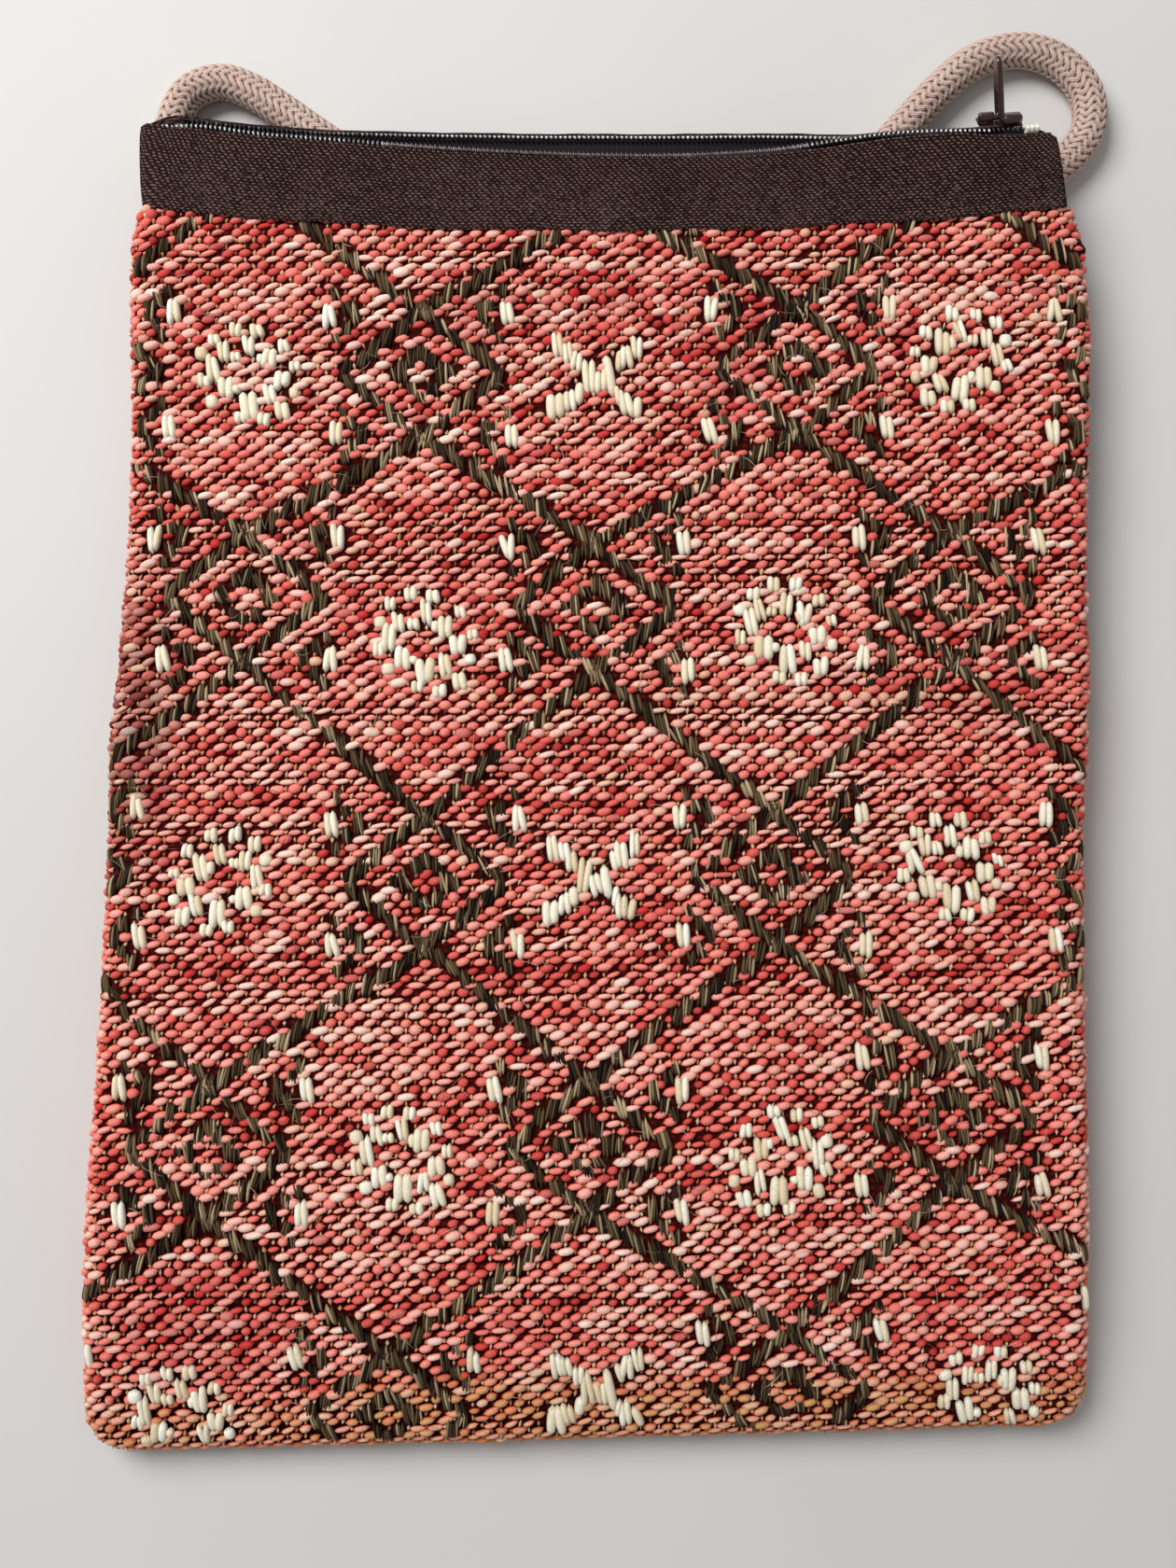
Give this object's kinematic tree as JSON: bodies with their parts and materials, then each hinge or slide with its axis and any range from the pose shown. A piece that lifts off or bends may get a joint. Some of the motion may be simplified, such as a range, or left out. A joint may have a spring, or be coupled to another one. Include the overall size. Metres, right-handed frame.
{
  "type": "handbag",
  "caption": "Flat hand-woven kilim shoulder bag with a zip along its open mouth, a dark twill facing band and a braided rope strap, lying on its back.",
  "frame": {"origin": "on the floor, under the middle of the bag with its zip pull, the strap left out", "axes": "+X across the bag to its right, +Y up the bag from the folded hem to the mouth, +Z away from the floor through the patterned front"},
  "size_m": [0.3, 0.418, 0.0338],
  "materials": {
    "red_wool": "hand-woven wool, matt",
    "brown_twill": "cotton twill, matt",
    "zip_tape": "woven tape, matt",
    "black_nylon": "nylon coil, slightly shiny",
    "brown_enamel": "glossy dark brown enamel",
    "pale_plastic": "milky clear moulding",
    "pink_rope": "braided cotton, matt",
    "dark_wool": "wool yarn, matt",
    "cream_wool": "wool yarn, matt"
  },
  "bodies": {
    "bag": {"kilim_pouch": "red_wool", "mouth_band": "brown_twill", "zip_tape_front": "zip_tape", "zip_tape_back": "zip_tape", "zip_coil_front": "black_nylon", "zip_coil_back": "black_nylon", "zip_stop_left": "black_nylon", "zip_stop_right": "pale_plastic", "rope_strap": "pink_rope", "brocade_lattice": "dark_wool", "diamond_ring_1": "dark_wool", "diamond_ring_2": "dark_wool", "diamond_ring_3": "dark_wool", "diamond_ring_4": "dark_wool", "diamond_ring_5": "dark_wool", "diamond_ring_6": "dark_wool", "diamond_ring_7": "dark_wool", "diamond_ring_8": "dark_wool", "diamond_ring_9": "dark_wool", "diamond_ring_10": "dark_wool", "diamond_ring_11": "dark_wool", "diamond_ring_12": "dark_wool", "rosette_1": "cream_wool", "rosette_2": "cream_wool", "rosette_3": "cream_wool", "rosette_4": "cream_wool", "rosette_5": "cream_wool", "rosette_6": "cream_wool", "rosette_7": "cream_wool", "rosette_8": "cream_wool", "rosette_9": "cream_wool", "rosette_10": "cream_wool", "cross_1": "cream_wool", "cross_2": "cream_wool", "cross_3": "cream_wool"},
    "slider": {"zip_slider": "brown_enamel"},
    "pull": {"zip_pull_tab": "brown_enamel"}
  },
  "joints": [
    {"name": "slider_travel", "type": "hinge", "parent": "bag", "child": "slider", "pos_m": [0.0023, 1.47907, 0], "axis": [0, 0, -1], "range_deg": [0, 10]},
    {"name": "pull_swing", "type": "hinge", "parent": "slider", "child": "pull", "pos_m": [0.1176, 0.18645, 0.02054], "axis": [-0.0681, 0.763, -0.6428], "range_deg": [-66, 94]}
  ]
}
